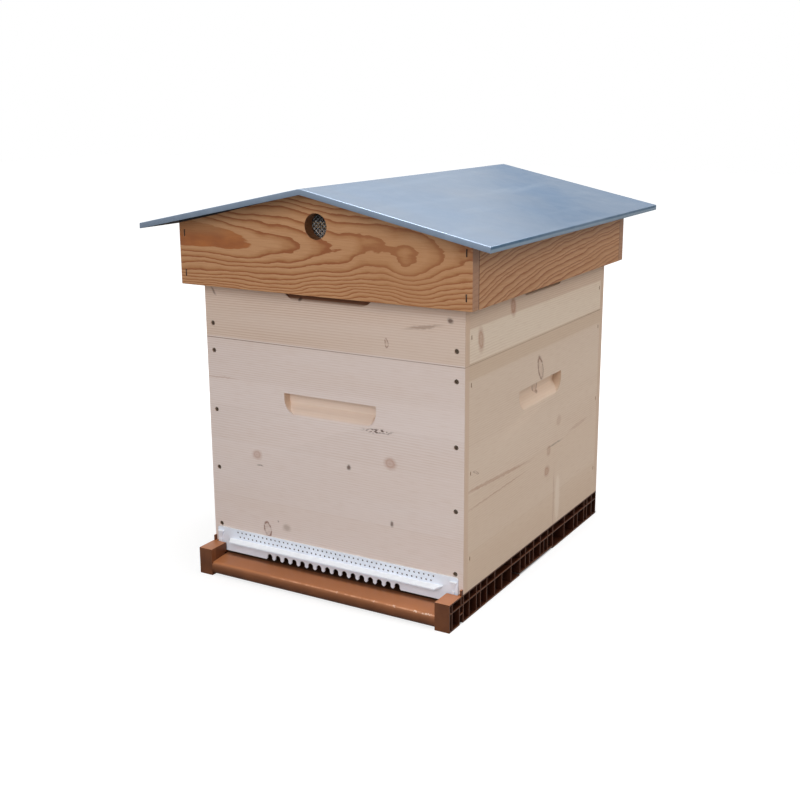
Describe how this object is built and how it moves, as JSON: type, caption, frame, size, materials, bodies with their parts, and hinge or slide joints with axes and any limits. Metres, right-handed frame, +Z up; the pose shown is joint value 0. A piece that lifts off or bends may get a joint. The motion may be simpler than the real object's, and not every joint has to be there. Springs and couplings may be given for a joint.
{
  "type": "beehive",
  "caption": "Wooden beehive with a ribbed brown plastic floor, white arched entrance door, brood box, honey super and gabled roof under a metal sheet.",
  "frame": {"origin": "on the ground under the middle of the hive", "axes": "+Z up, the entrance faces -Y, +X to the right seen from the front"},
  "size_m": [0.558, 0.62, 0.5891],
  "materials": {
    "box_wood": "planed pine",
    "inner_wood": "planed pine",
    "roof_wood": "oiled softwood",
    "roof_metal": "galvanised",
    "zinc_steel": "zinc plated",
    "floor_plastic": "satin",
    "door_plastic": "satin",
    "wax": "embossed wax"
  },
  "bodies": {
    "floor": {"floor_base": "floor_plastic"},
    "door": {"entrance_door": "door_plastic"},
    "brood_box": {"brood_back_rest_strip": "zinc_steel", "brood_back_wall": "box_wood", "brood_corner_brads": "zinc_steel", "brood_corner_screws": "zinc_steel", "brood_frame_01": "inner_wood", "brood_frame_02": "inner_wood", "brood_frame_03": "inner_wood", "brood_frame_04": "inner_wood", "brood_frame_05": "inner_wood", "brood_frame_06": "inner_wood", "brood_frame_07": "inner_wood", "brood_frame_08": "inner_wood", "brood_frame_09": "inner_wood", "brood_frame_10": "inner_wood", "brood_front_rest_strip": "zinc_steel", "brood_front_wall": "box_wood", "brood_left_wall": "box_wood", "brood_right_wall": "box_wood", "brood_wax_sheets": "wax"},
    "super_box": {"super_back_spacer": "zinc_steel", "super_back_wall": "box_wood", "super_corner_brads": "zinc_steel", "super_corner_screws": "zinc_steel", "super_frame_01": "inner_wood", "super_frame_02": "inner_wood", "super_frame_03": "inner_wood", "super_frame_04": "inner_wood", "super_frame_05": "inner_wood", "super_frame_06": "inner_wood", "super_frame_07": "inner_wood", "super_frame_08": "inner_wood", "super_frame_09": "inner_wood", "super_front_spacer": "zinc_steel", "super_front_wall": "box_wood", "super_left_wall": "box_wood", "super_right_wall": "box_wood", "super_wax_sheets": "wax"},
    "crown": {"crown_board": "inner_wood"},
    "roof": {"roof_back_gable": "roof_wood", "roof_back_left_cleat": "roof_wood", "roof_back_right_cleat": "roof_wood", "roof_back_vent_mesh": "zinc_steel", "roof_front_gable": "roof_wood", "roof_front_left_cleat": "roof_wood", "roof_front_right_cleat": "roof_wood", "roof_front_vent_mesh": "zinc_steel", "roof_left_board": "roof_wood", "roof_ridge_batten": "roof_wood", "roof_right_board": "roof_wood", "roof_sheet": "roof_metal", "roof_staples": "zinc_steel"}
  },
  "joints": [
    {"name": "brood_lift", "type": "slide", "parent": "floor", "child": "brood_box", "axis": [0, 0, 1], "range_m": [0, 0.15]},
    {"name": "super_lift", "type": "slide", "parent": "brood_box", "child": "super_box", "axis": [0, 0, 1], "range_m": [0, 0.15]},
    {"name": "crown_lift", "type": "slide", "parent": "super_box", "child": "crown", "axis": [0, 0, 1], "range_m": [0, 0.15]},
    {"name": "roof_lift", "type": "slide", "parent": "crown", "child": "roof", "axis": [0, 0, 1], "range_m": [0, 0.15]},
    {"name": "door_lift", "type": "slide", "parent": "floor", "child": "door", "axis": [0, 0, 1], "range_m": [0, 0.045]}
  ]
}
